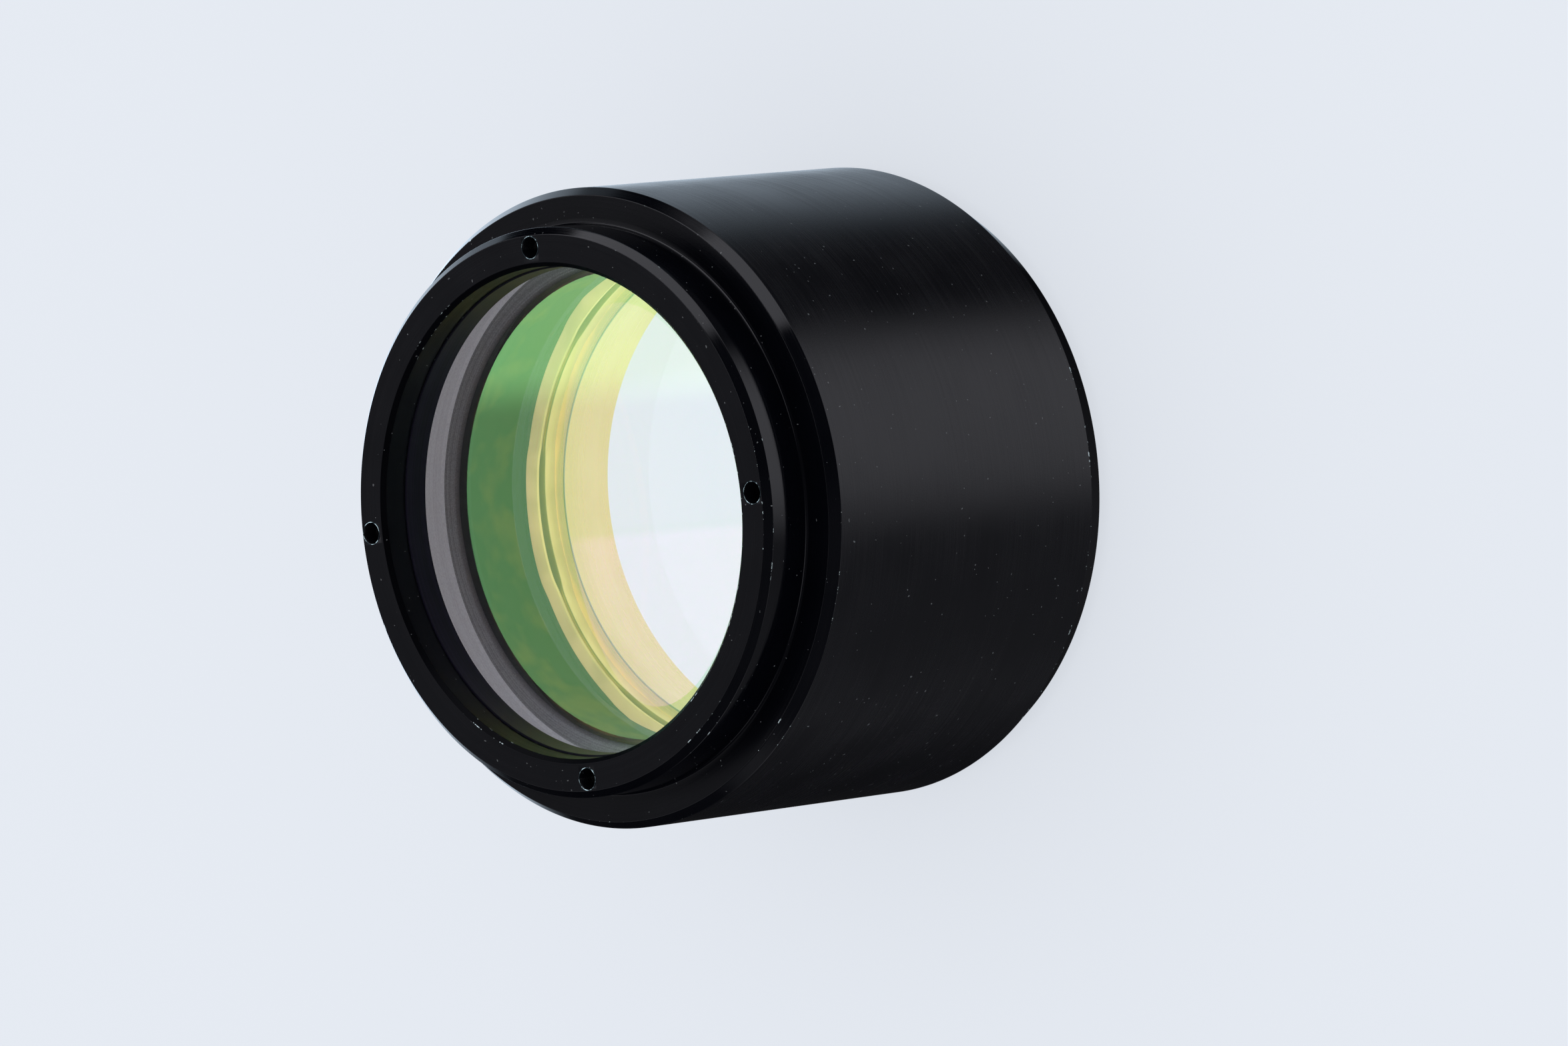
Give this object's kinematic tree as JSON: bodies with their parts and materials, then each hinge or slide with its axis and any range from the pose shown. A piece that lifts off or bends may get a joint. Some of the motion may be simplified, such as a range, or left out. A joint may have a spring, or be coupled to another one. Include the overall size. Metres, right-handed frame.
{
  "type": "laser focusing lens",
  "caption": "Black anodised cylindrical lens cell with a stepped front neck, pin-spanner holes in its face, and coated lenses held from the rear by a slotted brass retaining ring.",
  "frame": {"origin": "centre of the flat rear rim that the cell stands on", "axes": "+Z along the optical axis from the rear to the front face, +X through one of the four pin-spanner holes"},
  "size_m": [0.037, 0.037, 0.0268],
  "materials": {
    "black_anodised": "black anodised, satin, fine turning marks",
    "black_acetal": "smooth black plastic",
    "coated_glass": "polished and coated, ground edge",
    "spring_bronze": "rolled strip, satin",
    "turned_brass": "fine turned"
  },
  "bodies": {
    "root": {"barrel": "black_anodised", "seat_washer": "black_acetal", "front_lens": "coated_glass", "spacer": "black_anodised", "rear_lens": "coated_glass", "front_wave_spring": "spring_bronze", "rear_wave_spring": "spring_bronze", "retaining_ring": "turned_brass"}
  },
  "joints": []
}
